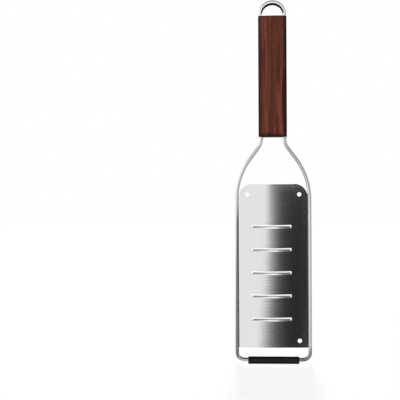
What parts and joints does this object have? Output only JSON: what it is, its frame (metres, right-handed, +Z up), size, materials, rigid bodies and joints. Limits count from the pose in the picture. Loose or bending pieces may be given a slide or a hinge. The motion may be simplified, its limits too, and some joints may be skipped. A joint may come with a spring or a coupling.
{
  "type": "hand grater",
  "caption": "Hand grater for shaving: a walnut handle with a hanging loop, a bent steel rod frame, a crowned steel blade with raised lips, and a rubber foot.",
  "frame": {"origin": "middle of the foot's flat underside, under the middle of the whole object", "axes": "+Z up the handle to the hanging loop, +X across the blade, the blade's cutting face looks along -Y"},
  "size_m": [0.0676, 0.017, 0.32],
  "materials": {
    "handle": "oiled walnut",
    "frame": "polished stainless rod",
    "blade": "brushed across its width",
    "loop": "polished stainless bar",
    "foot": "matt black"
  },
  "bodies": {
    "root": {"handle": "handle", "frame_rod": "frame", "blade": "blade", "hanging_loop": "loop", "foot": "foot"}
  },
  "joints": []
}
